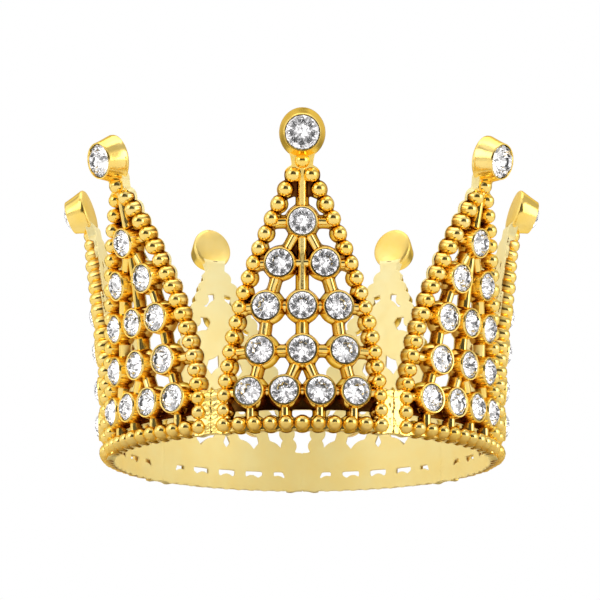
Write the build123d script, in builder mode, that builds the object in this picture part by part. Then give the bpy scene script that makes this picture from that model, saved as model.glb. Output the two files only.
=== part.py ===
# A miniature pageant crown. Seven identical cast panels stand in a ring and are soldered to
# each other at their flanges. Every panel is an open lattice edged with beads, with thirteen
# small chatons in cups and one larger chaton in the drum at its tip.
# Millimetres, Z up along the crown's axis, the crown stands on Z = 0, panel 1 faces -Y.
import os
from math import atan, cos, hypot, pi, radians, sin

from build123d import *

# the ring and its flare
panel_count = 7
panel_step = 360 / panel_count
ring_radius = 36.6            # inside of the ring at its base
flare = 0.003                 # how quickly the inside opens out, per mm of height squared
flare_start = 2.75            # the inside is straight up to here, then opens out
crown_height = 60.0           # height the flared surface is carried to, just above the tips
outside_radius = 60.0         # beyond everything on the crown

# beads along every panel edge
bead_radius = 1.43
bead_foot_radius = 1.7        # the bead's draft makes it wider at the back
bead_shoulder = 1.72          # depth where the dome begins
bead_height = 1.85            # height of the bottom row's centres
bottom_bead_pitch = 2.8
bottom_bead_count = 11
leg_bead_count = 17           # up one edge, from above the corner bead to the neck
leg_first_height = 4.6
leg_pitch_low = 2.66
leg_pitch_high = 2.9
leg_foot = 14.0               # half width of the panel's beaded edge at its foot
leg_base = 3.0
leg_rise = 46.9
leg_curve = 1.9
neck_bead_height = 49.5

# small chatons and their cups
stone_radius = 2.4            # a 4.8 mm chaton
cup_bore = 2.48
cup_radius = 2.9
cup_foot_radius = 3.2
cup_depth = 3.3
cup_floor = 0.85
girdle_depth = 2.95
crown_rise = 0.85
stone_pavilion = 1.95
table_share = 0.56            # table width as a share of the stone's width
facet_count = 12
girdle_share = 0.06           # girdle thickness as a share of the stone's radius
culet_share = 0.05            # width of the blunt culet as a share of the stone's width
top_row = 38.7                # heights of the five rows of small chatons
upper_row = 31.25
middle_row = 23.35
lower_row = 15.25
bottom_row = 7.65
upper_spread = 3.9            # how far out from the middle the stones of each row stand
middle_spread = 6.2
lower_spread = 7.2
bottom_spread = 9.15
bottom_inner_spread = 3.05
stone_spots = [
    (0, top_row),
    (-upper_spread, upper_row), (upper_spread, upper_row),
    (-middle_spread, middle_row), (0, middle_row), (middle_spread, middle_row),
    (-lower_spread, lower_row), (0, lower_row), (lower_spread, lower_row),
    (-bottom_spread, bottom_row), (-bottom_inner_spread, bottom_row),
    (bottom_inner_spread, bottom_row), (bottom_spread, bottom_row),
]

# tip drum and its larger chaton
tip_radius_back = 45.1        # where the drum's axis leaves its back, out from the crown's axis
tip_height = 54.3
tip_pitch = 15.5              # the drum looks this many degrees down
drum_front_radius = 3.48
drum_back_width = 4.25        # half width of the drum's oval back
drum_back_height = 4.65       # half height of the drum's oval back
drum_edge = 0.5               # depth of the oval edge, in front of the domed back
drum_back_share = 0.78        # the dome's flat middle as a share of the oval
drum_depth = 4.3
drum_dome = 0.35              # the back is slightly domed
drum_bore = 3.14
drum_floor = 1.3
tip_stone_radius = 3.06
tip_girdle_depth = 3.95
tip_crown_rise = 1.05
tip_pavilion = 2.5

# lattice, closed floors and flanges
stem_ridge_radius = 0.82      # the stems are half-round in front
stem_foot = 1.25              # half width of a stem at the back
stem_depth = 2.2              # back of the panel to the top of the half-round stem
root = 0.7                    # castings start this far behind the back and are trimmed to it
side_stem_lift = 0.4          # the outer stem of a row aims at the leg bead this much higher
side_stem_inset = 0.3         # and ends this far short of that bead's centre
neck_depth = 1.9
neck_levels = [(47.2, 1.75), (50.0, 1.9), (52.4, 2.5)]   # height and half width up the neck
floor_depth = 0.8             # thin closed floors behind parts of the lattice
bottom_floor = [(4.35, 13.4), (7.9, 13.4)]               # height and half width of each floor
middle_floor = [(29.6, 3.4), (35.0, 1.6)]
tip_floor = [(43.2, 3.6), (49.5, 1.2)]
rim_low = 0.45                # the plain band behind the bottom beads
rim_high = flare_start
rim_depth = 1.55
foot_depth = 0.55             # thin foot ring the crown stands on, behind the bead scallops
flange_start = 13.2           # flange plate runs from here to the joint
flange_end = 22.0             # past the joint, where the casting is trimmed to its seventh
flange_low = 0.45
flange_high = 8.5
flange_depth = 1.9

# cement and solder
cement_top = 2.3              # how far the cement fills a small cup
tip_cement_top = 3.2
solder_radius = 0.7
solder_low = 0.8
solder_high = 8.2

joint_angle = panel_step / 2


# radius of the crown's inside at a height: a straight foot, then a parabola opening outwards
def insideRadius(height):
    return ring_radius + flare * max(height - flare_start, 0) ** 2


# how far the inside surface leans outwards at a height
def leanAngle(height):
    return atan(2 * flare * max(height - flare_start, 0))


# a plane on the front panel's back surface: x runs sideways, z points out of the panel
def station(across, height, depth=0.0):
    turn = across / insideRadius(height)
    lean = leanAngle(height)
    reach = insideRadius(height) + depth * cos(lean)
    return Plane(
        origin=(reach * sin(turn), -reach * cos(turn), height - depth * sin(lean)),
        x_dir=(cos(turn), sin(turn), 0),
        z_dir=(cos(lean) * sin(turn), -cos(lean) * cos(turn), -sin(lean)),
    )


# half width of the beaded edge at a height: narrows slowly at first, then quickly to the neck
def edgeHalfWidth(height):
    rise = max(height - leg_base, 0) / leg_rise
    return leg_foot * (1 - rise ** leg_curve)


# beads up one edge, spaced along the curve with a pitch that grows a little towards the neck
def legBeads():
    height = leg_first_height
    across = edgeHalfWidth(height)
    spots = [(across, height)]
    step = 0.02
    for bead in range(1, leg_bead_count):
        share = bead / (leg_bead_count - 1)
        pitch = leg_pitch_low + (leg_pitch_high - leg_pitch_low) * share
        walked = 0.0
        while walked < pitch:
            next_across = edgeHalfWidth(height + step)
            walked += hypot(step, next_across - across)
            height += step
            across = next_across
        spots.append((across, height))
    return spots


leg_spots = legBeads()
bottom_spots = [
    ((place - (bottom_bead_count - 1) / 2) * bottom_bead_pitch, bead_height)
    for place in range(bottom_bead_count)
]
bead_spots = (
    bottom_spots
    + leg_spots
    + [(-across, height) for across, height in leg_spots]
    + [(0, neck_bead_height)]
)
print("beads on one panel", len(bead_spots), "highest leg bead", leg_spots[-1])


# a half-round stem with drafted sides between two spots on the panel
def stem(start, end):
    first = station(*start)
    last = station(*end)
    run = last.origin - first.origin
    outward = (first.z_dir + last.z_dir).normalized()
    side = outward.cross(run)
    shoulder = stem_depth - stem_ridge_radius
    with BuildPart() as bar:
        with BuildSketch(Plane(origin=first.origin, x_dir=side, z_dir=run)):
            with BuildLine():
                Polyline(
                    (stem_ridge_radius, shoulder),
                    (stem_foot, -root),
                    (-stem_foot, -root),
                    (-stem_ridge_radius, shoulder),
                )
                ThreePointArc(
                    (-stem_ridge_radius, shoulder),
                    (0, stem_depth),
                    (stem_ridge_radius, shoulder),
                )
            make_face()
        extrude(amount=run.length)
    return bar.part


# the leg bead nearest to a height, as a spot for a side stem to end in
def nearestLeg(height):
    return min(leg_spots, key=lambda spot: abs(spot[1] - height))


# all the stems: centre to centre down the lattice, and along each row out to the legs
def latticeStems():
    runs = [
        ((0, top_row), (0, neck_bead_height)),
        ((0, top_row), (0, upper_row)),
        ((0, upper_row), (0, middle_row)),
        ((0, middle_row), (0, lower_row)),
    ]
    for side in (-1, 1):
        upper = (side * upper_spread, upper_row)
        middle = (side * middle_spread, middle_row)
        lower = (side * lower_spread, lower_row)
        outer = (side * bottom_spread, bottom_row)
        inner = (side * bottom_inner_spread, bottom_row)
        runs += [
            ((0, top_row), upper),
            (upper, middle),
            (middle, lower),
            (lower, outer),
            ((0, lower_row), inner),
            (outer, (side * bottom_spread, bead_height)),
            (inner, (side * bottom_inner_spread, bead_height)),
        ]
    rows = {}
    for across, height in stone_spots:
        rows.setdefault(height, []).append(across)
    for height, places in rows.items():
        leg = nearestLeg(height + side_stem_lift)[0] - side_stem_inset
        stops = [-leg] + sorted(places) + [leg]
        for here, beyond in zip(stops, stops[1:]):
            runs.append(((here, height), (beyond, height)))
    return [stem(start, end) for start, end in runs]


# one bead, one cup and one drum, each turned about its own axis
with BuildPart() as bead:
    with BuildSketch(Plane.XZ):
        with BuildLine():
            Polyline((0, bead_shoulder + bead_radius), (0, -root), (bead_foot_radius, -root),
                     (bead_radius, bead_shoulder))
            ThreePointArc(
                (bead_radius, bead_shoulder),
                (bead_radius * sin(pi / 4), bead_shoulder + bead_radius * sin(pi / 4)),
                (0, bead_shoulder + bead_radius),
            )
        make_face()
    revolve(axis=Axis.Z)

with BuildPart() as cup:
    with BuildSketch(Plane.XZ):
        Polygon((0, -root), (cup_foot_radius, -root), (cup_radius, cup_depth), (0, cup_depth),
                align=None)
    revolve(axis=Axis.Z)

with BuildPart() as cup_hollow:
    with BuildSketch(Plane.XZ):
        Polygon((0, cup_floor), (cup_bore, cup_floor), (cup_bore, cup_depth + root),
                (0, cup_depth + root), align=None)
    revolve(axis=Axis.Z)

# the drum's own plane: origin on its back, z looking out through its stone
drum_tilt = radians(tip_pitch)
drum_plane = Plane(
    origin=(0, -tip_radius_back, tip_height),
    x_dir=(1, 0, 0),
    z_dir=(0, -cos(drum_tilt), -sin(drum_tilt)),
)

with BuildPart() as drum:
    with BuildSketch(Plane.XY.offset(drum_edge)):
        Ellipse(drum_back_width, drum_back_height)
    with BuildSketch(Plane.XY.offset(drum_depth)):
        Circle(drum_front_radius)
    loft()
    with BuildSketch(Plane.XY.offset(-drum_dome)):
        Ellipse(drum_back_share * drum_back_width, drum_back_share * drum_back_height)
    with BuildSketch(Plane.XY.offset(drum_edge)):
        Ellipse(drum_back_width, drum_back_height)
    loft()

with BuildPart() as drum_hollow:
    with BuildSketch(Plane.XZ):
        Polygon((0, drum_floor), (drum_bore, drum_floor), (drum_bore, drum_depth + root),
                (0, drum_depth + root), align=None)
    revolve(axis=Axis.Z)


# everything between the flared inside and the same flare set out by a depth, over one panel
def flaredShell(depth, low, high):
    middle = (flare_start + crown_height) / 2
    back_top = insideRadius(crown_height)
    with BuildPart() as shell:
        with BuildSketch(Plane.XZ):
            with BuildLine():
                Line((ring_radius, -root), (ring_radius, flare_start))
                Bezier((ring_radius, flare_start), (ring_radius, middle),
                       (back_top, crown_height))
                Line((back_top, crown_height), (back_top + depth, crown_height))
                Bezier((back_top + depth, crown_height), (ring_radius + depth, middle),
                       (ring_radius + depth, flare_start))
                Polyline((ring_radius + depth, flare_start), (ring_radius + depth, -root),
                         (ring_radius, -root))
            make_face()
        revolve(axis=Axis.Z, revolution_arc=panel_step)
    turned = shell.part.rotate(Axis.Z, -90 - joint_angle)
    with BuildPart() as slab:
        add(turned)
        with Locations((0, 0, low)):
            Box(2 * outside_radius, 2 * outside_radius, high - low,
                align=(Align.CENTER, Align.CENTER, Align.MIN), mode=Mode.INTERSECT)
    return slab.part


# the plates of one panel: an outline seen from the front, cut from a shell of a given depth
def plate(outlines, depth, low, high):
    shell = flaredShell(depth, low, high)
    with BuildPart() as sheet:
        with BuildSketch(Plane.XZ.offset(ring_radius / 2)):
            for outline in outlines:
                Polygon(*outline, align=None)
        extrude(amount=outside_radius)
        add(shell, mode=Mode.INTERSECT)
    return sheet.part


# outline of a plate that is alike on both sides, from its heights and half widths
def bothSides(levels):
    right = [(half_width, height) for height, half_width in levels]
    left = [(-half_width, height) for height, half_width in reversed(levels)]
    return right + left


# one panel casting
stems = latticeStems()
rim_band = flaredShell(rim_depth, rim_low, rim_high)
foot_ring = flaredShell(foot_depth, 0, rim_high)
flange_sides = [
    [(side * flange_start, flange_low), (side * flange_end, flange_low),
     (side * flange_end, flange_high), (side * flange_start, flange_high)]
    for side in (-1, 1)
]
flanges = plate(flange_sides, flange_depth, flange_low, flange_high)
floor_outlines = [bothSides(levels) for levels in (bottom_floor, middle_floor, tip_floor)]
floors = plate(floor_outlines, floor_depth, rim_low, neck_bead_height)
neck_foot = neck_levels[0][0]
neck_top = neck_levels[-1][0]
neck = plate([bothSides(neck_levels)], neck_depth, neck_foot, neck_top)
bead_places = [station(across, height) for across, height in bead_spots]
cup_places = [station(across, height) for across, height in stone_spots]
groove_places = [
    Plane(
        origin=(ring_radius * sin(radians(turn)), -ring_radius * cos(radians(turn)), 0),
        z_dir=(0, 0, 1),
    )
    for turn in (-joint_angle, joint_angle)
]
trimming = flaredShell(crown_height, 0, crown_height)

with BuildPart() as casting:
    add(rim_band)
    add(foot_ring)
    add(flanges)
    add(floors)
    add(stems)
    add(neck)
    with Locations(*bead_places):
        add(bead.part)
    with Locations(*cup_places):
        add(cup.part)
    with Locations(drum_plane):
        add(drum.part)
    add(trimming, mode=Mode.INTERSECT)
    with Locations(*cup_places):
        add(cup_hollow.part, mode=Mode.SUBTRACT)
    with Locations(drum_plane):
        add(drum_hollow.part, mode=Mode.SUBTRACT)
    with Locations(*groove_places):
        Cylinder(solder_radius, 3 * flange_high, mode=Mode.SUBTRACT)
print("casting", casting.part.volume, "solids", len(casting.part.solids()),
      "faces", len(casting.part.faces()))


# a stone with a ring of facets above its girdle and another below, culet down, table up
def facetedStone(radius, girdle, rise, pavilion):
    band = girdle_share * radius
    levels = [
        (girdle - pavilion, culet_share * radius, girdle, radius),
        (girdle, radius, girdle + band, radius),
        (girdle + band, radius, girdle + rise, table_share * radius),
    ]
    with BuildPart() as stone:
        for low, low_radius, high, high_radius in levels:
            with BuildSketch(Plane.XY.offset(low)):
                RegularPolygon(low_radius, facet_count)
            with BuildSketch(Plane.XY.offset(high)):
                RegularPolygon(high_radius, facet_count)
            loft(ruled=True)
    return stone.part


# the cement a stone sits in: fills the hollow up to a level, less the stone itself
def cementBed(bore, floor, level, stone):
    with BuildPart() as bed:
        with BuildSketch(Plane.XY.offset(floor)):
            Circle(bore)
        extrude(amount=level - floor)
        add(stone, mode=Mode.SUBTRACT)
    return bed.part


chaton = facetedStone(stone_radius, girdle_depth, crown_rise, stone_pavilion)
tip_chaton = facetedStone(tip_stone_radius, tip_girdle_depth, tip_crown_rise, tip_pavilion)
chaton_bed = cementBed(cup_bore, cup_floor, cement_top, chaton)
tip_bed = cementBed(drum_bore, drum_floor, tip_cement_top, tip_chaton)

with BuildPart() as chatons:
    with Locations(*cup_places):
        add(chaton)

with BuildPart() as tip_stone:
    with Locations(drum_plane):
        add(tip_chaton)

with BuildPart() as cement:
    with Locations(*cup_places):
        add(chaton_bed)
    with Locations(drum_plane):
        add(tip_bed)

# solder run down the inside of the joint to the right of the front panel: it fills the groove
# and is dressed flat, flush with the inside of the ring
with BuildPart() as solder:
    with Locations(Location((0, 0, solder_low), (0, 0, joint_angle))):
        with Locations((0, -ring_radius, 0)):
            Cylinder(solder_radius, solder_high - solder_low,
                     align=(Align.CENTER, Align.CENTER, Align.MIN))
            Box(4 * solder_radius, 2 * solder_radius, solder_high - solder_low,
                align=(Align.CENTER, Align.MIN, Align.MIN), mode=Mode.SUBTRACT)

# seven of everything, one STEP file each
os.makedirs("parts", exist_ok=True)
families = {
    "panel": casting.part,
    "chatons": chatons.part,
    "tip_stone": tip_stone.part,
    "cement": cement.part,
    "solder": solder.part,
}
for family, first in families.items():
    print(family, "solids", len(first.solids()), "volume", round(first.volume, 2))
    for place in range(panel_count):
        name = f"{family}_{place + 1}"
        piece = first.rotate(Axis.Z, place * panel_step)
        piece.label = name
        export_step(piece, f"parts/{name}.step", write_pcurves=False)
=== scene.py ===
from math import pi, radians

import bpy
import numpy as np
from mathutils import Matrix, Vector


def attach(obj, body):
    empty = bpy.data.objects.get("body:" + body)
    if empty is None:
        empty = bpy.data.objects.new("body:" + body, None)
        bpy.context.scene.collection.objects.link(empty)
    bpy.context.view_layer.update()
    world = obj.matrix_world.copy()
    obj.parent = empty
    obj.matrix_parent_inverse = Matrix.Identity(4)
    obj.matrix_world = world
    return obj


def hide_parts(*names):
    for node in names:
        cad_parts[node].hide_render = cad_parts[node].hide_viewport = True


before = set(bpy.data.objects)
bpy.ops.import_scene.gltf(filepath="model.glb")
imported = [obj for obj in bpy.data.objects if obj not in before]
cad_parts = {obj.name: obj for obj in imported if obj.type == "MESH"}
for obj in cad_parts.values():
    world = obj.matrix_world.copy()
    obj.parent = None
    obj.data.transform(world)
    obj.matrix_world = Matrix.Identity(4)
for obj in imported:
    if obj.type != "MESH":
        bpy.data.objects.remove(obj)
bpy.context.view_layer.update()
mm = 0.001

# the ring every panel bends around, and the flare of its inside
ring = {
    "panels": 7,
    "insideRadius": 36.6 * mm,
    "flare": 3.0,  # per metre
    "flareStart": 2.75 * mm,
    "bent": [0.0, -0.3, -0.24, -0.06, -0.06, -0.14, 0.02],  # what hand bending adds to each flare
}
step = 2 * pi / ring["panels"]


# flare of a panel as bent by hand; a joint, halfway between two, takes the panel before it
def flareOf(place):
    return ring["flare"] + ring["bent"][int(place)]


# inside radius at a height: straight foot, then a parabola opening outwards
def insideRadius(height, place=0):
    return ring["insideRadius"] + flareOf(place) * np.maximum(height - ring["flareStart"], 0) ** 2


# angle the inside leans outwards: arctangent of the parabola's slope
def leanAngle(height, place=0):
    return np.arctan(2 * flareOf(place) * np.maximum(height - ring["flareStart"], 0))


# a spot given as across, up and out of a panel: across becomes an angle round the unbent ring,
# out runs along the normal of the flared inside
def onPanel(across, height, depth, place):
    lean = leanAngle(height, place)
    angle = across / insideRadius(height) + place * step
    reach = insideRadius(height, place) + depth * np.cos(lean)
    return np.stack([reach * np.sin(angle), -reach * np.cos(angle), height - depth * np.sin(lean)], axis=-1)


# origin and the three directions (sideways, up, out) at spots of a panel
def panelFrames(across, height, place):
    across, height = np.broadcast_arrays(np.asarray(across, float), np.asarray(height, float))
    lean = leanAngle(height, place)
    angle = across / insideRadius(height) + place * step
    out = np.stack([np.cos(lean) * np.sin(angle), -np.cos(lean) * np.cos(angle), -np.sin(lean)], axis=-1)
    side = np.stack([np.cos(angle), np.sin(angle), np.zeros_like(angle)], axis=-1)
    return onPanel(across, height, 0.0 * height, place), np.stack([side, np.cross(out, side), out], axis=-2)


# a value eased from zero to one between two places
def eased(value, start, end):
    share = np.clip((value - start) / (end - start), 0, 1)
    return share * share * (3 - 2 * share)


# a band: eased up over the first two places and down again over the last two
def band(value, start, full, leaving, gone):
    return eased(value, start, full) * eased(-value, -gone, -leaving)


# how far out the painted shade in the recesses reaches, and the closed pockets that take deeper painted
# shade, each as its low edge, high edge and half width in mm
paintedShadeZones = {"reach": 2.1 * mm, "pockets": [(3.2, 8.2, 13.6), (29.8, 36.0, 3.0), (42.0, 48.2, 3.4)]}


# how much painted shade each point takes: one on the flared inside, falling to zero at the reach, and more
# again in the pockets
def paintedShadeAmount(points, place):
    height = points[:, 2]
    radius = np.hypot(points[:, 0], points[:, 1]) - insideRadius(height, place)
    base = np.clip(1 - radius * np.cos(leanAngle(height, place)) / paintedShadeZones["reach"], 0, 1)
    angle = (np.arctan2(points[:, 0], -points[:, 1]) - place * step + pi) % (2 * pi) - pi
    a, h = np.abs(angle) * insideRadius(height) / mm, height / mm
    pocket = np.zeros(len(points))
    for low, high, half in paintedShadeZones["pockets"]:
        upright = band(h, low - 0.5, low + 0.3, high - 0.3, high + 0.3)
        pocket = np.maximum(pocket, upright * eased(-a, -half - 0.2, -half + 0.3))
    return base + 0.6 * pocket * eased(base, 0.25, 0.6)


# points in a maker's small frame (sideways, up, out) carried to each spot, one copy per spot
def carried(points, origins, directions):
    return origins[:, None, :] + np.einsum("pk,nkc->npc", points, directions)


# the same faces for every copy, numbered on by the points of one copy
def repeated(faces, pointCount, copies):
    first = (np.arange(copies) * pointCount)[:, None, None]
    return [(f[None] + first).reshape(-1, f.shape[1]) for f in faces]


# a profile of (radius, out) turned about the out axis: radius times cosine and sine of the
# turn; one round face closes its start, and its end on the axis is a pole with a fan
def turnedProfile(profile, around):
    turn = np.arange(around) * 2 * pi / around
    radius, out = profile[:-1, 0:1], np.repeat(profile[:-1, 1:2], around, 1)
    points = np.stack([radius * np.cos(turn), radius * np.sin(turn), out], -1).reshape(-1, 3)
    points = np.vstack([points, [[0, 0, profile[-1, 1]]]])
    i, j = np.meshgrid(np.arange(len(profile) - 2), np.arange(around), indexing="ij")
    k = (j + 1) % around
    quads = np.stack([i * around + j, i * around + k, (i + 1) * around + k, (i + 1) * around + j], -1)
    j, last = np.arange(around), (len(profile) - 2) * around
    fan = np.stack([last + j, last + (j + 1) % around, np.full(around, len(points) - 1)], -1)
    return points, [quads.reshape(-1, 4), j[None, ::-1], fan]


# one mesh object from lists of points and faces, each with the material slot it takes
def makePiece(name, parts, finishes, node, sharp=38, painted_shade=None):
    mesh = bpy.data.meshes.new(name)
    base, allPoints, loops, starts, slots, at = 0, [], [], [], [], 0
    for points, faces, slotIndices in parts:
        points = np.asarray(points, float).reshape(-1, 3)
        for f, slotIndex in zip(faces, slotIndices):
            loops.append((f + base).ravel())
            starts.append(at + np.arange(len(f)) * f.shape[1])
            slots.append(np.full(len(f), slotIndex))
            at += f.size
        allPoints.append(points)
        base += len(points)
    allPoints, loops = np.concatenate(allPoints), np.concatenate(loops)
    starts, slots = np.concatenate(starts), np.concatenate(slots)
    mesh.vertices.add(len(allPoints))
    mesh.vertices.foreach_set("co", allPoints.ravel())
    mesh.loops.add(len(loops))
    mesh.loops.foreach_set("vertex_index", loops.astype(np.int32))
    mesh.polygons.add(len(starts))
    mesh.polygons.foreach_set("loop_start", starts.astype(np.int32))
    mesh.polygons.foreach_set("material_index", slots.astype(np.int32))
    mesh.polygons.foreach_set("use_smooth", np.full(len(starts), sharp > 0))
    for finish in finishes:
        mesh.materials.append(finish)
    mesh.update(calc_edges=True)
    mesh.validate()
    if sharp:
        mesh.set_sharp_from_angle(angle=radians(sharp))
    # painted shade: how deep each point sits in the recesses and pockets, kept for the gold to darken by
    if painted_shade is not None:
        shade = mesh.attributes.new("painted_shade", "FLOAT", "POINT")
        shade.data.foreach_set("value", paintedShadeAmount(allPoints, painted_shade))
    piece = bpy.data.objects.new(name, mesh)
    bpy.context.scene.collection.objects.link(piece)
    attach(piece, "root")
    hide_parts(node)


# colours of the plating: each gold drifts between its two tones; the paler back tones are painted light
# standing in for the bright light on the crown's inside
plating = {
    "gold": [(1.0, 0.69, 0.15), (1.0, 0.76, 0.27)],
    "paintedLightGold": [(1.0, 0.84, 0.39), (1.0, 0.9, 0.5)],
    "edge": (1.0, 0.78, 0.34),
    # painted shade: two dark browns laid in the recesses, the darker one in the pockets, where the shade
    # falls
    "shadeBrown": (0.36, 0.15, 0.016), "deepShadeBrown": (0.07, 0.012, 0.002),
}


# a node material with its shader, ready to be wired
def newFinish(name):
    material = bpy.data.materials.new(name)
    material.use_nodes = True
    nodes, links = material.node_tree.nodes, material.node_tree.links
    shader = nodes["Principled BSDF"]
    return material, nodes, links, shader


# cloudy noise in object space at a scale, as a node
def cloud(nodes, links, scale, detail=3.0):
    where = nodes.new("ShaderNodeTexCoord")
    noise = nodes.new("ShaderNodeTexNoise")
    noise.inputs["Scale"].default_value = scale
    noise.inputs["Detail"].default_value = detail
    links.new(where.outputs["Object"], noise.inputs["Vector"])
    return noise.outputs["Fac"]


# a value spread between two ends
def spread(nodes, links, fac, low, high, fromLow=0.3, fromHigh=0.7):
    ranged = nodes.new("ShaderNodeMapRange")
    ranged.inputs["From Min"].default_value = fromLow
    ranged.inputs["From Max"].default_value = fromHigh
    ranged.inputs["To Min"].default_value = low
    ranged.inputs["To Max"].default_value = high
    links.new(fac, ranged.inputs["Value"])
    return ranged.outputs["Result"]


# two colours mixed by a value; the first may be a socket
def mixed(nodes, links, fac, first, second):
    mix = nodes.new("ShaderNodeMix")
    mix.data_type = "RGBA"
    links.new(fac, mix.inputs["Factor"])
    if isinstance(first, tuple):
        mix.inputs["A"].default_value = (*first, 1)
    else:
        links.new(first, mix.inputs["A"])
    mix.inputs["B"].default_value = (*second, 1)
    return mix.outputs["Result"]


# an uneven skin: noise read as height
def uneven(nodes, links, shader, height, strength, depth):
    bump = nodes.new("ShaderNodeBump")
    bump.inputs["Strength"].default_value = strength
    bump.inputs["Distance"].default_value = depth
    links.new(height, bump.inputs["Height"])
    links.new(bump.outputs["Normal"], shader.inputs["Normal"])


# painted shade: brown laid over a tone in the recesses, darker in the pockets, its edge wandering with a
# cloud
def layPaintedShade(nodes, links, tone):
    shadeAttribute = nodes.new("ShaderNodeAttribute")
    shadeAttribute.attribute_name = "painted_shade"
    reach = nodes.new("ShaderNodeMath")
    reach.operation = "MULTIPLY_ADD"
    links.new(cloud(nodes, links, 520.0, 4.0), reach.inputs[0])
    reach.inputs[1].default_value = 0.5
    links.new(shadeAttribute.outputs["Fac"], reach.inputs[2])
    for brown, start, end in ((plating["shadeBrown"], 0.5, 0.95), (plating["deepShadeBrown"], 1.1, 1.5)):
        cover = spread(nodes, links, reach.outputs["Value"], 0, 0.94, start, end)
        tone = mixed(nodes, links, cover, tone, brown)
    return tone


# plated gold: polished, with faint clouding and scuffs, an uneven skin, and painted shade laid as brown
# in the recesses and pockets where shade falls
def platedGold(name, tones, polish, scuff, grain, depth, metal=1.0, shadePainted=False):
    material, nodes, links, shader = newFinish(name)
    shader.inputs["Metallic"].default_value = metal
    shader.inputs["Specular Tint"].default_value = (*plating["edge"], 1)
    tone = mixed(nodes, links, spread(nodes, links, cloud(nodes, links, 160.0), 0, 1), *plating[tones])
    if shadePainted:
        tone = layPaintedShade(nodes, links, tone)
    links.new(tone, shader.inputs["Base Color"])
    wear = cloud(nodes, links, 700.0, 5.0)
    links.new(spread(nodes, links, wear, polish, scuff, 0.45, 0.8), shader.inputs["Roughness"])
    uneven(nodes, links, shader, cloud(nodes, links, grain, 2.0), 0.35, depth)
    return material


brightGold = platedGold("bright_gold_plate", "gold", 0.1, 0.26, 900.0, 0.06 * mm, shadePainted=True)
drumGold = platedGold("drum_gold_plate", "gold", 0.12, 0.28, 900.0, 0.06 * mm)
# painted light: the back of the sheet and the solder take a paler copy of the gold for the brightly lit
# inside
paintedLightGold = platedGold("tumbled_gold_back_painted_light", "paintedLightGold", 0.42, 0.58, 600.0, 0.08 * mm, metal=0.3)
drumBack = platedGold("tumbled_drum_back", "gold", 0.34, 0.5, 600.0, 0.08 * mm, metal=0.75)
solderGold = platedGold("plated_solder", "paintedLightGold", 0.36, 0.55, 2500.0, 0.2 * mm, metal=0.3)


# clear stone: glass with a whisper of surface haze
def clearCrystal():
    material, nodes, links, shader = newFinish("clear_crystal")
    shader.inputs["Base Color"].default_value = (0.985, 0.965, 0.94, 1)
    shader.inputs["IOR"].default_value = 1.56
    shader.inputs["Transmission Weight"].default_value = 1.0
    links.new(spread(nodes, links, cloud(nodes, links, 900.0), 0.0, 0.03), shader.inputs["Roughness"])
    return material


# silver foil painted behind a stone
def silverFoil():
    material, nodes, links, shader = newFinish("silver_foil")
    shader.inputs["Metallic"].default_value = 1.0
    tone = mixed(nodes, links, cloud(nodes, links, 500.0), (0.86, 0.86, 0.88), (0.95, 0.95, 0.96))
    links.new(tone, shader.inputs["Base Color"])
    links.new(spread(nodes, links, cloud(nodes, links, 1500.0), 0.03, 0.12), shader.inputs["Roughness"])
    return material


# setting cement: grey, slightly glossy, with little bubbles
def settingCement():
    material, nodes, links, shader = newFinish("setting_cement")
    tone = mixed(nodes, links, cloud(nodes, links, 900.0, 4.0), (0.45, 0.45, 0.47), (0.62, 0.62, 0.64))
    links.new(tone, shader.inputs["Base Color"])
    links.new(spread(nodes, links, cloud(nodes, links, 1200.0), 0.35, 0.55), shader.inputs["Roughness"])
    uneven(nodes, links, shader, cloud(nodes, links, 3000.0), 0.4, 0.1 * mm)
    return material


crystal, foil, cementGrey = clearCrystal(), silverFoil(), settingCement()
print("finishes ready")

# where things sit on a panel, in mm: rows as a height and the places across it
layout = {
    "rows": [(38.7, [0.0]), (31.25, [-3.9, 3.9]), (23.35, [-6.2, 0.0, 6.2]),
             (15.25, [-7.2, 0.0, 7.2]), (7.65, [-9.15, -3.05, 3.05, 9.15])],
    "legFoot": 14.0, "legBase": 3.0, "legRise": 46.9, "legCurve": 1.9,
    "legBeads": 17, "firstLegBead": 4.6, "lastLegHeight": 49.0, "pitchLow": 2.66, "pitchHigh": 2.9,
    "bottomBeads": 11, "bottomPitch": 2.8, "bottomHeight": 1.85, "neckBead": 49.5,
    "cupReach": 2.72, "sideStemLift": 0.4, "sideStemInset": 0.3,
}


# half width of the beaded edge at a height: foot times one minus rise to a power
def edgeHalfWidth(height):
    rise = np.maximum(height - layout["legBase"], 0) / layout["legRise"]
    return layout["legFoot"] * (1 - rise ** layout["legCurve"])


# bead spots up one edge: the edge curve's running length, cut at a slowly growing pitch
def legSpots():
    height = np.linspace(layout["firstLegBead"], layout["lastLegHeight"], 2000)
    across = edgeHalfWidth(height)
    length = np.concatenate([[0], np.cumsum(np.hypot(np.diff(height), np.diff(across)))])
    share = np.arange(1, layout["legBeads"]) / (layout["legBeads"] - 1)
    pitch = layout["pitchLow"] + (layout["pitchHigh"] - layout["pitchLow"]) * share
    stops = np.concatenate([[0], np.cumsum(pitch)])
    return np.stack([np.interp(stops, length, across), np.interp(stops, length, height)], -1)


# bead spots along the foot: an even pitch about the middle
def bottomSpots():
    across = (np.arange(layout["bottomBeads"]) - (layout["bottomBeads"] - 1) / 2) * layout["bottomPitch"]
    return np.stack([across, np.full(len(across), layout["bottomHeight"])], -1)


leg = legSpots()
beadSpots = np.concatenate([bottomSpots(), leg, leg * [-1, 1], [[0, layout["neckBead"]]]]) * mm
stoneSpots = np.array([(across, height) for height, places in layout["rows"] for across in places]) * mm


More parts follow.
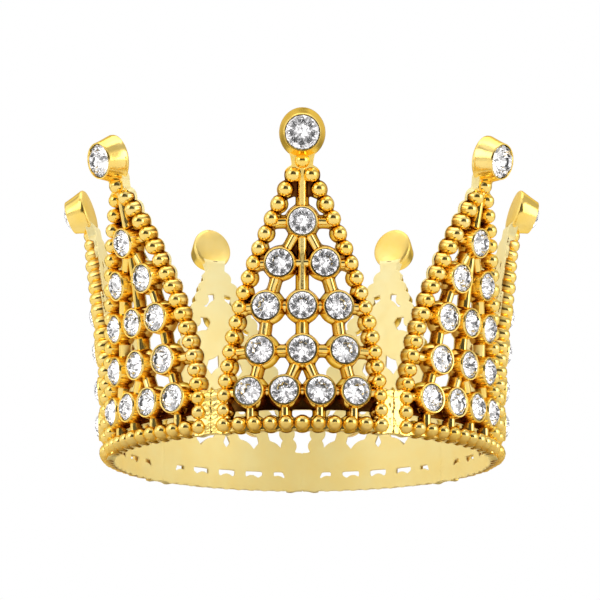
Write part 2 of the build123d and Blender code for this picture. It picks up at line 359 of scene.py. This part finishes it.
# stem runs: centre to centre down the lattice, then along each row out to the legs, with the
# stretch inside each cup taken off, so that nothing crosses a stone
def stemRuns():
    heights = [height for height, places in layout["rows"]]
    top, upper, middle, lower, base = heights
    foot, inner = layout["bottomHeight"], layout["rows"][-1][1][-2]
    runs = [((0, top), (0, layout["neckBead"])), ((0, top), (0, upper)),
            ((0, upper), (0, middle)), ((0, middle), (0, lower))]
    for side in (-1, 1):
        outermost = [(side * places[-1], height) for height, places in layout["rows"]]
        runs += zip(outermost, outermost[1:])
        runs += [((0, lower), (side * inner, base)), (outermost[-1], (outermost[-1][0], foot)),
                 ((side * inner, base), (side * inner, foot))]
    for height, places in layout["rows"]:
        nearest = np.argmin(np.abs(leg[:, 1] - height - layout["sideStemLift"]))
        edge = leg[nearest, 0] - layout["sideStemInset"]
        stops = [-edge, *places, edge]
        runs += [((here, height), (beyond, height)) for here, beyond in zip(stops, stops[1:])]
    runs = np.array(runs) * mm
    heading = runs[:, 1] - runs[:, 0]
    heading = heading / np.linalg.norm(heading, axis=1, keepdims=True)
    gaps = np.linalg.norm(runs[:, :, None] - stoneSpots, axis=-1).min(-1)
    cut = np.where(gaps < 0.01 * mm, layout["cupReach"] * mm, 0)
    return runs + cut[..., None] * np.stack([heading, -heading], 1)


stems = stemRuns()
print("layout:", len(beadSpots), "beads,", len(stoneSpots), "stones and", len(stems), "stems on each panel")

# beads
beadShape = {"radius": 1.43, "footRadius": 1.7, "shoulder": 1.72, "start": 0.12, "around": 14,
             "handmade": 0.018}
rng = np.random.default_rng(11)


# a drafted foot that turns into a half-round dome
def beadProfile():
    radius, shoulder, start = beadShape["radius"], beadShape["shoulder"], beadShape["start"]
    foot = beadShape["footRadius"] - (beadShape["footRadius"] - radius) * start / shoulder
    rise = np.radians([0, 24, 47, 68])
    dome = np.stack([radius * np.cos(rise), shoulder + radius * np.sin(rise)], -1)
    return np.vstack([[[foot, start]], dome, [[0, shoulder + radius]]]) * mm


# the turned bead at every bead spot, each a hair larger or smaller
def makeBeads(place):
    points, faces = turnedProfile(beadProfile(), beadShape["around"])
    origins, directions = panelFrames(beadSpots[:, 0], beadSpots[:, 1], place)
    size = 1 + rng.normal(0, beadShape["handmade"], (len(beadSpots), 1, 1))
    local = np.einsum("pk,nkc->npc", points, directions) * size
    return origins[:, None] + local, repeated(faces, len(points), len(beadSpots)), [0] * len(faces)


# stems
stemShape = {"ridge": 0.8, "foot": 1.25, "depth": 2.15, "start": 0.12, "sections": 4}


# a half-round ridge on drafted sides, carried along each run over the flared inside
def makeStems(place):
    ridge, foot, depth, start = (stemShape[key] for key in ("ridge", "foot", "depth", "start"))
    bend = np.radians([0, 36, 72, 108, 144, 180])
    across = np.concatenate([[foot], ridge * np.cos(bend), [-foot]]) * mm
    out = np.concatenate([[start], depth - ridge + ridge * np.sin(bend), [start]]) * mm
    share = np.linspace(0, 1, stemShape["sections"])
    spots = stems[:, 0:1] + (stems[:, 1:2] - stems[:, 0:1]) * share[None, :, None]
    origins, directions = panelFrames(spots[..., 0], spots[..., 1], place)
    run = stems[:, 1] - stems[:, 0]
    run = run / np.linalg.norm(run, axis=1, keepdims=True)
    # sideways of the run within the panel's own across and up directions
    aside = run[:, None, 1:2] * directions[:, :, 0] - run[:, None, 0:1] * directions[:, :, 1]
    outwards = directions[:, :, None, 2] * out[:, None]
    points = origins[:, :, None] + aside[:, :, None] * across[:, None] + outwards
    n, sections, count = points.shape[:3]
    i, j = np.meshgrid(np.arange(sections - 1), np.arange(count), indexing="ij")
    k = (j + 1) % count
    quads = np.stack([i * count + j, (i + 1) * count + j, (i + 1) * count + k, i * count + k], -1)
    end = (sections - 1) * count + np.arange(count)
    faces = [quads.reshape(-1, 4), np.arange(count)[None], end[None, ::-1]]
    return points, repeated(faces, sections * count, n), [0] * len(faces)


# cups
cupShape = {"rim": 2.9, "foot": 3.32, "bore": 2.5, "depth": 3.3, "floor": 0.95, "start": 0.12, "around": 28}


# drafted outside, a thin rolled rim, a straight bore and a flat floor
def cupProfile():
    rim, foot, bore, depth = (cupShape[key] for key in ("rim", "foot", "bore", "depth"))
    floor = cupShape["floor"]
    outside = [(foot, cupShape["start"]), (rim + 0.03, depth - 0.35), (rim - 0.04, depth - 0.1)]
    roll = [(rim - 0.13, depth), (bore + 0.08, depth - 0.02), (bore, depth - 0.14)]
    return np.array(outside + roll + [(bore - 0.01, floor), (0, floor)]) * mm


# the turned cup at every stone spot
def makeCups(place):
    points, faces = turnedProfile(cupProfile(), cupShape["around"])
    origins, directions = panelFrames(stoneSpots[:, 0], stoneSpots[:, 1], place)
    copies = repeated(faces, len(points), len(stoneSpots))
    return carried(points, origins, directions), copies, [0] * len(faces)


# the drum at the tip
drumShape = {"back": 45.1, "height": 54.3, "pitch": 15.5, "front": 3.48, "rear": 4.25, "depth": 4.3,
             "dome": 0.35, "oval": 1.12, "bore": 3.16, "floor": 1.4, "around": 56, "backRows": 5}


# domed back, rounded corner, tapered side, rolled rim, bore and floor
def drumProfile():
    front, rear, depth, dome = (drumShape[key] for key in ("front", "rear", "depth", "dome"))
    bore, floor = drumShape["bore"], drumShape["floor"]
    back = [(0.6, -dome), (1.8, -dome * 0.93), (2.8, -dome * 0.7), (3.5, -dome * 0.3), (rear - 0.3, -0.02)]
    side = [(rear - 0.06, 0.22), (rear, 0.5), (rear - 0.08, 1.1), (rear - 0.38, depth * 0.58)]
    rim = [(front + 0.04, depth - 0.4), (front - 0.02, depth - 0.1), (front - 0.09, depth)]
    inside = [(bore + 0.08, depth - 0.02), (bore, depth - 0.15), (bore, floor + 1.0), (bore, floor)]
    return np.array(back + side + rim + inside + [(0, floor)]) * mm


# the drum's own origin and directions, looking down by its pitch
def drumFrame(place):
    pitch, turn = radians(drumShape["pitch"]), place * step
    side = np.array([np.cos(turn), np.sin(turn), 0])
    out = np.array([np.cos(pitch) * np.sin(turn), -np.cos(pitch) * np.cos(turn), -np.sin(pitch)])
    height = drumShape["height"] * mm
    reach = drumShape["back"] * mm + insideRadius(height, place) - insideRadius(height)
    origin = np.array([reach * np.sin(turn), -reach * np.cos(turn), height])
    return origin[None], np.stack([side, np.cross(out, side), out])[None]


# the turned drum drawn out upright at its back: the stretch fades to one with the depth squared
def makeDrum(place):
    points, faces = turnedProfile(drumProfile(), drumShape["around"])
    outer = np.hypot(points[:, 0], points[:, 1]) > (drumShape["bore"] + 0.09) * mm
    behind = np.clip(1 - points[:, 2] / (drumShape["depth"] * mm), 0, 1) ** 2
    points[:, 1] *= 1 + (drumShape["oval"] - 1) * behind * (outer | (points[:, 2] < 0.5 * mm))
    back = drumShape["backRows"] * drumShape["around"]
    faces = [faces[0][:back], faces[0][back:], *faces[1:]]
    return carried(points, *drumFrame(place)), faces, [1, 0, 1, 0]


# the lattice sheet, in mm; grow and corner shape its outline, pits dent its flanges
sheetShape = {
    "thickness": 0.4, "floorDepth": 0.8, "rimDepth": 1.55, "flangeDepth": 1.9, "neckDepth": 1.9,
    "half": 16.8, "low": -0.4, "high": 55.0, "grid": 0.2, "bevel": 0.09,
    "corner": 0.17, "grow": -0.03, "seamGap": 0.004, "pits": 150, "pitDepth": 0.11,
}
# its closed plates: from and to by distance off the middle line, then low and high; wedges
# narrow upwards, as half width, low, high, narrowing per mm and the cosine of their slant
plates = {
    "straight": [(-13.4, 13.4, 4.35, 7.9), (-14.2, 14.2, 0.5, 2.75), (12.8, 20.0, 0.42, 8.5)],
    "wedges": [(3.4, 29.6, 35.0, 0.333, 0.95), (3.6, 43.2, 49.5, 0.38, 0.93)],
}
neckShape = {"low": 46.6, "waistHigh": 48.4, "high": 52.5, "waist": 1.78, "top": 2.9, "widening": 1.6,
             "sink": 0.8, "sinkFrom": 50.5, "sinkTo": 52.4}
pitAcross = rng.uniform(13.1, 16.8, sheetShape["pits"])
pitHeights = rng.uniform(0.4, 8.6, sheetShape["pits"])
pitSizes = rng.uniform(0.2, 0.5, sheetShape["pits"])


# how far inside each round pad: its radius less the distance to its middle; above zero is metal
def padField(across, height, spots, radius):
    return radius - np.hypot(across[..., None] - spots[:, 0], height[..., None] - spots[:, 1])


# how far inside each bar: half its width less the distance to the nearest place on its run
def barField(across, height, runs, half):
    start, run = runs[:, 0], runs[:, 1] - runs[:, 0]
    offset = np.stack([across, height], -1)[..., None, :] - start
    along = np.clip((offset * run).sum(-1) / (run * run).sum(-1), 0, 1)
    return half - np.linalg.norm(offset - along[..., None] * run, axis=-1)


# how far inside a box: the least distance to its four sides
def boxField(across, height, left, right, low, high):
    return np.minimum.reduce([across - left, right - across, height - low, high - height])


# smooth joining of fields: scaled logarithm of the sum of exponentials, so corners fill in
def blended(fields, softness):
    peak = fields.max(-1, keepdims=True)
    return peak[..., 0] + softness * np.log(np.exp((fields - peak) / softness).sum(-1))


# how far inside the neck: a waist that widens into the drum by a power of the rise
def neckField(a, h):
    rise = np.clip((h - neckShape["waistHigh"]) / (neckShape["high"] - neckShape["waistHigh"]), 0, 1)
    half = neckShape["waist"] + (neckShape["top"] - neckShape["waist"]) * rise ** neckShape["widening"]
    return np.minimum(half - a, np.minimum(h - neckShape["low"], neckShape["high"] - h))


# the panel's silhouette: pads under beads and cups, bars under stems, closed plates and neck,
# joined smoothly and cut straight at the joints
def panelField(across, height):
    x, h, grow = across / mm, height / mm, sheetShape["grow"]
    a = np.abs(x)
    closed = [boxField(a, h, *sides) for sides in plates["straight"]]
    for half, low, high, narrowing, slant in plates["wedges"]:
        sloping = slant * (half - a - narrowing * (h - low))
        closed.append(np.minimum(boxField(a, h, -half, half, low, high), sloping))
    fields = [padField(x, h, beadSpots / mm, beadShape["footRadius"] + grow),
              padField(x, h, stoneSpots / mm, cupShape["foot"] + grow),
              barField(x, h, stems / mm, stemShape["foot"] + grow),
              np.stack([*closed, neckField(a, h)], -1)]
    joined = blended(np.concatenate(fields, -1), sheetShape["corner"])
    joint = step / 2 * insideRadius(height) / mm - sheetShape["seamGap"]
    return mm * np.minimum.reduce([joined, joint - a, h])


# how far the sheet's front stands out: thin under the lattice, thicker floors, rim band and
# neck, and flanges dented by cast pits, each a bell curve of the distance from its own spot
def panelDepth(across, height):
    a, h, thin = np.abs(across / mm), height / mm, sheetShape["thickness"]
    floors = np.maximum(band(h, 4.2, 4.3, 8.0, 8.1), band(h, 29.4, 29.6, 35.0, 35.2))
    floors = np.maximum(floors, eased(h, 43.0, 43.2))
    depth = thin + (sheetShape["floorDepth"] - thin) * floors
    depth = np.maximum(depth, thin + (sheetShape["rimDepth"] - thin) * band(h, 0.35, 0.55, 2.65, 2.85))
    depth = np.maximum(depth, thin + (sheetShape["neckDepth"] - thin) * eased(h, 46.8, 48.2))
    flange = eased(a, 13.0, 13.2) * eased(-h, -8.9, -8.7)
    away = np.hypot(a[..., None] - pitAcross, h[..., None] - pitHeights)
    pits = -sheetShape["pitDepth"] * np.exp(-(away / pitSizes) ** 2).max(-1)
    return mm * np.maximum(depth, thin + (sheetShape["flangeDepth"] + pits - thin) * flange)


# the back follows the flared inside, then eases out behind the neck to run into the drum's back
def panelBack(height):
    return neckShape["sink"] * mm * eased(height / mm, neckShape["sinkFrom"], neckShape["sinkTo"])


# a grid's edges, sideways, upright and slanting, and its triangles, two a cell; each triangle
# is its three corners, then the numbers of the points where the outline may cross its edges
def gridCells(nx, nz):
    ids = np.arange(nx * nz).reshape(nx, nz)
    a, b, c, d = ids[:-1, :-1], ids[1:, :-1], ids[1:, 1:], ids[:-1, 1:]
    starts, ends = [ids[:-1, :], ids[:, :-1], a], [ids[1:, :], ids[:, 1:], c]
    edges = np.stack([np.concatenate([part.ravel() for part in parts]) for parts in (starts, ends)], -1)
    first, crossings = nx * nz, []
    for part in starts:
        crossings.append(first + np.arange(part.size).reshape(part.shape))
        first += part.size
    sideways, upright, slanting = crossings
    lowerHalf = [a, b, c, sideways[:, :-1], upright[1:, :], slanting]
    upperHalf = [a, c, d, slanting, sideways[:, 1:], upright[:-1, :]]
    halves = [np.stack([part.ravel() for part in half], -1) for half in (lowerHalf, upperHalf)]
    return edges, np.concatenate(halves)


# what is left of each triangle where the level is above zero, as triangles and four-sided
# faces, and the stretches of outline between them
def clipped(cells, level):
    inside = level[cells[:, :3]] > 0
    count = inside.sum(1)
    threes, fours, rims = [cells[count == 3][:, :3]], [], []
    for k in range(3):
        corner, following, last = cells[:, k], cells[:, (k + 1) % 3], cells[:, (k + 2) % 3]
        after, before = cells[:, 3 + k], cells[:, 3 + (k + 2) % 3]
        alone = (count == 1) & inside[:, k]
        threes.append(np.stack([corner, after, before], -1)[alone])
        rims.append(np.stack([after, before], -1)[alone])
        missing = (count == 2) & ~inside[:, k]
        fours.append(np.stack([after, following, last, before], -1)[missing])
        rims.append(np.stack([before, after], -1)[missing])
    return np.concatenate(threes), np.concatenate(fours), np.concatenate(rims)


# which way the silhouette's field rises: its difference over a small step across and up
def fieldSlope(across, height, probe):
    return np.stack([panelField(across + probe, height) - panelField(across - probe, height),
                     panelField(across, height + probe) - panelField(across, height - probe)], -1)


# the sheet of metal where the silhouette's field is above zero: clipped triangles for the front
# and back, inset by the bevel, and walls between them stepped out by the bevel down the slope
def makeLattice(place):
    grid, bevel, half, low, high = (sheetShape[key] * mm for key in ("grid", "bevel", "half", "low", "high"))
    nx, nz = round(2 * half / grid) + 1, round((high - low) / grid) + 1
    across, height = np.meshgrid(np.linspace(-half, half, nx), np.linspace(low, high, nz), indexing="ij")
    level = (panelField(across, height) - bevel).ravel()
    edges, cells = gridCells(nx, nz)
    corners = np.stack([across.ravel(), height.ravel()], -1)
    a, b = level[edges[:, 0]], level[edges[:, 1]]
    share = np.clip(np.where(a == b, 0.5, a / np.where(a == b, 1, a - b)), 0.03, 0.97)
    crossings = corners[edges[:, 0]] + share[:, None] * (corners[edges[:, 1]] - corners[edges[:, 0]])
    threes, fours, rims = clipped(cells, level)
    used, again = np.unique(np.concatenate([threes.ravel(), fours.ravel()]), return_inverse=True)
    threes, fours = again[:threes.size].reshape(-1, 3), again[threes.size:].reshape(-1, 4)
    rims = np.searchsorted(used, rims)
    spots = np.concatenate([corners, crossings])[used]
    rimIds = np.unique(rims)
    rim = spots[rimIds]
    slope = fieldSlope(*rim.T, grid * 0.4)
    outline = rim - bevel * slope / np.maximum(np.linalg.norm(slope, axis=1, keepdims=True), 1e-12)
    points = np.concatenate([
        onPanel(*spots.T, panelDepth(*spots.T), place),
        onPanel(*spots.T, panelBack(spots[:, 1]), place),
        onPanel(*outline.T, panelDepth(*rim.T) - bevel, place),
        onPanel(*outline.T, panelBack(rim[:, 1]) + bevel, place)])
    n, (p, q) = len(spots), rims.T
    pFront, qFront = 2 * n + np.searchsorted(rimIds, rims).T
    pBack, qBack = pFront + len(rimIds), qFront + len(rimIds)
    frontEdge = np.stack([q, p, pFront, qFront], -1)
    wall = np.stack([qFront, pFront, pBack, qBack], -1)
    backEdge = np.stack([qBack, pBack, n + p, n + q], -1)
    faces = [threes, fours, frontEdge, wall, backEdge, n + threes[:, ::-1], n + fours[:, ::-1]]
    return points, faces, [0, 0, 0, 1, 1, 1, 1]


# solder down the inside of each joint
solderShape = {"half": 0.6, "proud": 0.05, "buried": 0.25, "low": 0.8, "high": 8.2, "columns": 10, "rows": 34}


# a shallow run: one minus the square of the way across, its width and height wavering with
# two sines of the height, closed behind by a flat strip inside the flanges
def makeSolder(place):
    columns, rows = np.linspace(-1, 1, solderShape["columns"]), np.linspace(0, 1, solderShape["rows"])
    u, v = np.meshgrid(columns, rows, indexing="ij")
    height = (solderShape["low"] + (solderShape["high"] - solderShape["low"]) * v) * mm
    fade = np.sqrt(np.clip(1 - (2 * v - 1) ** 8, 0, 1))
    waver = 1 + 0.14 * np.sin(17 * v + 1.3 * place) + 0.1 * np.sin(41 * v + 2.1 * place)
    across = u * solderShape["half"] * waver * (0.35 + 0.65 * fade) * mm
    ripple = 1 + 0.22 * np.sin(23 * v + 2.6 * u + place) + 0.12 * np.sin(61 * v - 3.1 * u)
    skin = -solderShape["proud"] * (1 - u ** 2) * fade * ripple * mm + 0.02 * mm
    buried = solderShape["buried"] * mm + 0 * u
    points = np.concatenate([onPanel(across, height, skin, place + 0.5).reshape(-1, 3),
                             onPanel(across, height, buried, place + 0.5).reshape(-1, 3)])
    count, ids = u.size, np.arange(u.size).reshape(u.shape)
    cell = np.stack([ids[:-1, :-1], ids[:-1, 1:], ids[1:, 1:], ids[1:, :-1]], -1).reshape(-1, 4)
    edge = np.concatenate([ids[:, 0], ids[-1, 1:], ids[-2::-1, -1], ids[0, -2:0:-1]])
    beyond = np.roll(edge, -1)
    wall = np.stack([edge, beyond, count + beyond, count + edge], -1)
    return points, [cell, count + cell[:, ::-1], wall], [0, 0, 0]


# stones, in mm; the shares place the table, star and lower corners of any size
stoneShape = {
    "small": {"radius": 2.42, "girdle": 3.07, "band": 0.1, "rise": 0.85, "pavilion": 1.93},
    "large": {"radius": 3.08, "girdle": 3.95, "band": 0.14, "rise": 1.05, "pavilion": 2.48},
    "table": 0.53, "star": 0.8, "starRise": 0.555, "lower": 0.36, "lowerDrop": 0.667,
}


# a round cut: eight-sided table, star, main and half facets over a sixteen-sided girdle, and
# below it sixteen halves and eight kites down to the culet
def cutStone(size):
    radius, girdle, crownRise, drop = (size[key] for key in ("radius", "girdle", "rise", "pavilion"))
    upperEdge = girdle + size["band"]
    eight, sixteen = np.arange(8) * pi / 4, np.arange(16) * pi / 8

    def level(turn, r, out):
        return np.stack([r * np.cos(turn), r * np.sin(turn), np.full(len(turn), out)], -1)

    table = level(eight + pi / 8, stoneShape["table"] * radius, upperEdge + crownRise)
    star = level(eight, stoneShape["star"] * radius, upperEdge + crownRise * stoneShape["starRise"])
    upper, under = level(sixteen, radius, upperEdge), level(sixteen, radius, girdle)
    lower = level(eight + pi / 8, stoneShape["lower"] * radius, girdle - drop * stoneShape["lowerDrop"])
    points = np.vstack([table, star, upper, under, lower, [[0, 0, girdle - drop]]]) * mm
    t, s, u, g, w, c = 0, 8, 16, 32, 48, 56  # first point of each level
    k, j = np.arange(8), np.arange(16)
    n = (k + 1) % 8
    crown = [t + k[None],
             np.stack([t + (k - 1) % 8, s + k, t + k], -1),
             np.stack([t + k, s + k, u + 2 * k + 1, s + n], -1),
             np.stack([s + k, u + 2 * k, u + 2 * k + 1], -1),
             np.stack([s + n, u + 2 * k + 1, u + (2 * k + 2) % 16], -1)]
    foiled = [np.stack([u + j, g + j, g + (j + 1) % 16, u + (j + 1) % 16], -1),
              np.stack([g + 2 * k, w + k, g + 2 * k + 1], -1),
              np.stack([g + 2 * k + 1, w + k, g + (2 * k + 2) % 16], -1),
              np.stack([g + (2 * k + 2) % 16, w + k, 0 * k + c, w + n], -1)]
    return points, crown + foiled, [0] * len(crown) + [1] * len(foiled)


# stones set by hand: each turned to any angle in its cup and a degree or so out of true
def makeStones(key, origins, directions):
    points, faces, slots = cutStone(stoneShape[key])
    count = len(origins)
    spin = rng.uniform(0, pi / 4, (count, 1))
    tilt = rng.normal(0, 0.02, (count, 2))
    x = points[:, 0] * np.cos(spin) - points[:, 1] * np.sin(spin)
    y = points[:, 0] * np.sin(spin) + points[:, 1] * np.cos(spin)
    z = points[:, 2] + x * tilt[:, :1] + y * tilt[:, 1:]
    placed = origins[:, None] + np.einsum("npk,nkc->npc", np.stack([x, y, z], -1), directions)
    return placed, repeated(faces, len(points), count), slots


# the cement under them, in mm
cementShape = {
    "small": {"bore": 2.49, "floor": 0.96, "level": 2.3},
    "large": {"bore": 3.15, "floor": 1.41, "level": 3.2},
    "clear": 0.09, "around": 24,
}


# what is left of a cup's hollow under its stone: out to the bore, flat on top, and a cone
# that stays clear of the foil all the way down to the culet
def makeCement(key, origins, directions):
    bed, size, clear = cementShape[key], stoneShape[key], cementShape["clear"]
    elbow = size["girdle"] - size["pavilion"] * stoneShape["lowerDrop"]
    share = (bed["level"] - elbow) / (size["girdle"] - elbow)
    lower = stoneShape["lower"]
    reach = size["radius"] * (lower + (1 - lower) * share)
    profile = [(bed["bore"], bed["floor"]), (bed["bore"], bed["level"]), (reach + clear, bed["level"]),
               (lower * size["radius"] + clear, elbow - 0.02), (0, bed["floor"] + 0.01)]
    points, faces = turnedProfile(np.array(profile) * mm, cementShape["around"])
    copies = repeated(faces, len(points), len(origins))
    return carried(points, origins, directions), copies, [0] * len(faces)


# one panel with everything set in it, and the solder at the joint after it
def makePanel(place):
    number = place + 1
    panel = f"panel_{number}"
    gold, spots, tip = [brightGold], panelFrames(*stoneSpots.T, place), drumFrame(place)
    sheet, sheetGold = makeLattice(place), [brightGold, paintedLightGold]
    # the lattice, stems, beads and cups carry the painted shade of the recesses
    makePiece(f"lattice_{number}", [sheet], sheetGold, panel, painted_shade=place)
    makePiece(f"stems_{number}", [makeStems(place)], gold, panel, painted_shade=place)
    makePiece(f"edge_beads_{number}", [makeBeads(place)], gold, panel, painted_shade=place)
    makePiece(f"stone_cups_{number}", [makeCups(place)], gold, panel, painted_shade=place)
    makePiece(f"tip_drum_{number}", [makeDrum(place)], [drumGold, drumBack], panel)
    small, large = makeStones("small", *spots), makeStones("large", *tip)
    makePiece(f"small_stones_{number}", [small], [crystal, foil], f"chatons_{number}", sharp=0)
    makePiece(f"tip_stone_cut_{number}", [large], [crystal, foil], f"tip_stone_{number}", sharp=0)
    makePiece(f"solder_run_{number}", [makeSolder(place)], [solderGold], f"solder_{number}")
    beds = [makeCement("small", *spots), makeCement("large", *tip)]
    makePiece(f"cement_beds_{number}", beds, [cementGrey], f"cement_{number}")
    print("panel", number, "built")


for place in range(ring["panels"]):
    makePanel(place)

# the white room: zones are an aim, a half angle and its softness in degrees
studio = {
    "floorSize": 1.2, "floorLevel": -0.2 * mm, "floorColour": (0.93, 0.93, 0.92), "floorFade": (0.22, 0.55),
    "surround": 0.95, "dark": ((0.02, -1.0, 0.06), 41.0, 12.0), "darkDepth": 0.1,
    "behind": ((0.0, 1.0, 0.1), 50.0, 18.0), "behindDepth": 0.6,
    "stoneDark": ((0.0, -1.0, -0.2), 14.0, 8.0), "stoneBright": 1.5, "stoneDarkDepth": 0.05,
}


# a pale floor that shows from above, lets a low camera look up through it, and fades out
# evenly with the distance from its middle; light leaving a stone passes it to reach the room
def layFloor():
    material, nodes, links, shader = newFinish("pale_floor")
    shader.inputs["Base Color"].default_value = (*studio["floorColour"], 1)
    shader.inputs["Roughness"].default_value = 0.7
    where = nodes.new("ShaderNodeTexCoord")
    away = nodes.new("ShaderNodeVectorMath")
    away.operation = "LENGTH"
    links.new(where.outputs["Object"], away.inputs[0])
    unseen = spread(nodes, links, away.outputs["Value"], 0, 1, *studio["floorFade"])
    side, path = nodes.new("ShaderNodeNewGeometry"), nodes.new("ShaderNodeLightPath")
    for reason in (side.outputs["Backfacing"], path.outputs["Is Transmission Ray"]):
        either = nodes.new("ShaderNodeMath")
        either.operation = "MAXIMUM"
        links.new(unseen, either.inputs[0])
        links.new(reason, either.inputs[1])
        unseen = either.outputs["Value"]
    clear, choose = nodes.new("ShaderNodeBsdfTransparent"), nodes.new("ShaderNodeMixShader")
    links.new(unseen, choose.inputs["Fac"])
    links.new(shader.outputs["BSDF"], choose.inputs[1])
    links.new(clear.outputs["BSDF"], choose.inputs[2])
    links.new(choose.outputs["Shader"], nodes["Material Output"].inputs["Surface"])
    half, level = studio["floorSize"] / 2, studio["floorLevel"]
    corners = [(-half, -half, level), (half, -half, level), (half, half, level), (-half, half, level)]
    mesh = bpy.data.meshes.new("floor")
    mesh.from_pydata(corners, [], [(0, 1, 2, 3)])
    mesh.materials.append(material)
    floor = bpy.data.objects.new("floor", mesh)
    bpy.context.scene.collection.objects.link(floor)


# white surround, darker where the photographer stands and a little darker far behind; light
# leaving the stones meets its own pattern, and the camera sees plain white
def hangSurround():
    world = bpy.data.worlds.new("white_studio")
    bpy.context.scene.world = world
    world.use_nodes = True
    nodes, links = world.node_tree.nodes, world.node_tree.links
    background = nodes["Background"]
    where = nodes.new("ShaderNodeTexCoord")

    # one value outside a soft-edged cone about an aim and another inside it
    def zone(aim, wide, soft, outer, inner):
        facing = nodes.new("ShaderNodeVectorMath")
        facing.operation = "DOT_PRODUCT"
        links.new(where.outputs["Generated"], facing.inputs[0])
        facing.inputs[1].default_value = np.array(aim) / np.linalg.norm(aim)
        ramp = nodes.new("ShaderNodeMapRange")
        ramp.interpolation_type = "SMOOTHSTEP"
        ramp.inputs["From Min"].default_value = np.cos(radians(wide + soft))
        ramp.inputs["From Max"].default_value = np.cos(radians(wide - soft))
        ramp.inputs["To Min"].default_value = outer
        ramp.inputs["To Max"].default_value = inner
        links.new(facing.outputs["Value"], ramp.inputs["Value"])
        return ramp.outputs["Result"]

    def product(first, second):
        times = nodes.new("ShaderNodeMath")
        times.operation = "MULTIPLY"
        links.new(first, times.inputs[0])
        links.new(second, times.inputs[1])
        return times.outputs["Value"]

    # panels and gaps of a real room: soft patches of more and less light
    def patchy(value, scale, low, high):
        patches = nodes.new("ShaderNodeTexNoise")
        patches.inputs["Scale"].default_value = scale
        patches.inputs["Detail"].default_value = 1.0
        links.new(where.outputs["Generated"], patches.inputs["Vector"])
        return product(value, spread(nodes, links, patches.outputs["Fac"], low, high, 0.41, 0.59))

    def choose(switch, off):
        pick = nodes.new("ShaderNodeMix")
        links.new(switch, pick.inputs["Factor"])
        links.new(off, pick.inputs["A"])
        return pick

    metal = product(zone(*studio["dark"], studio["surround"], studio["darkDepth"]),
                    zone(*studio["behind"], 1.0, studio["behindDepth"]))
    glass = zone(*studio["stoneDark"], studio["stoneBright"], studio["stoneDarkDepth"])
    path = nodes.new("ShaderNodeLightPath")
    leaving = choose(path.outputs["Is Transmission Ray"], patchy(metal, 1.9, 0.62, 1.3))
    links.new(patchy(glass, 3.5, 0.25, 1.5), leaving.inputs["B"])
    seen = choose(path.outputs["Is Camera Ray"], leaving.outputs["Result"])
    seen.inputs["B"].default_value = 1.0
    links.new(seen.outputs["Result"], background.inputs["Strength"])
    background.inputs["Color"].default_value = (1, 1, 1, 1)


# lights: where each hangs, its size in metres and its power in watts
softboxes = {
    "left_softbox": ((-0.45, -0.35, 0.3), (0.3, 0.4), 0.55),
    "right_softbox": ((0.5, -0.3, 0.15), (0.3, 0.4), 0.7),
    "top_softbox": ((0.0, 0.05, 0.6), (0.5, 0.5), 0.9),
}


# a soft light turned to the middle of the crown
def hangSoftbox(name, spot, size, power):
    light = bpy.data.lights.new(name, "AREA")
    light.shape = "RECTANGLE"
    light.size, light.size_y = size
    light.energy = power
    softbox = bpy.data.objects.new(name, light)
    softbox.location = spot
    toCrown = np.array([0, 0, 0.03]) - np.array(spot)
    softbox.rotation_euler = Vector(toCrown).to_track_quat("-Z", "Y").to_euler()
    bpy.context.scene.collection.objects.link(softbox)


# the camera: low in front of the crown, looking up at it
view = {"lens": 140.8, "spot": (0, -0.4561, -0.0718), "upwards": 12.98, "shift": -0.0038}


def setCamera():
    camera = bpy.data.cameras.new("camera")
    camera.lens = view["lens"]
    camera.sensor_width = 36.0
    camera.clip_start = 0.01
    camera.shift_x = view["shift"]
    stand = bpy.data.objects.new("camera", camera)
    stand.location = view["spot"]
    stand.rotation_euler = (radians(90 + view["upwards"]), 0, 0)
    bpy.context.scene.collection.objects.link(stand)
    bpy.context.scene.camera = stand
    bpy.context.scene.view_settings.view_transform = "Standard"


layFloor()
hangSurround()
for name, (spot, size, power) in softboxes.items():
    hangSoftbox(name, spot, size, power)
setCamera()
print("studio set")
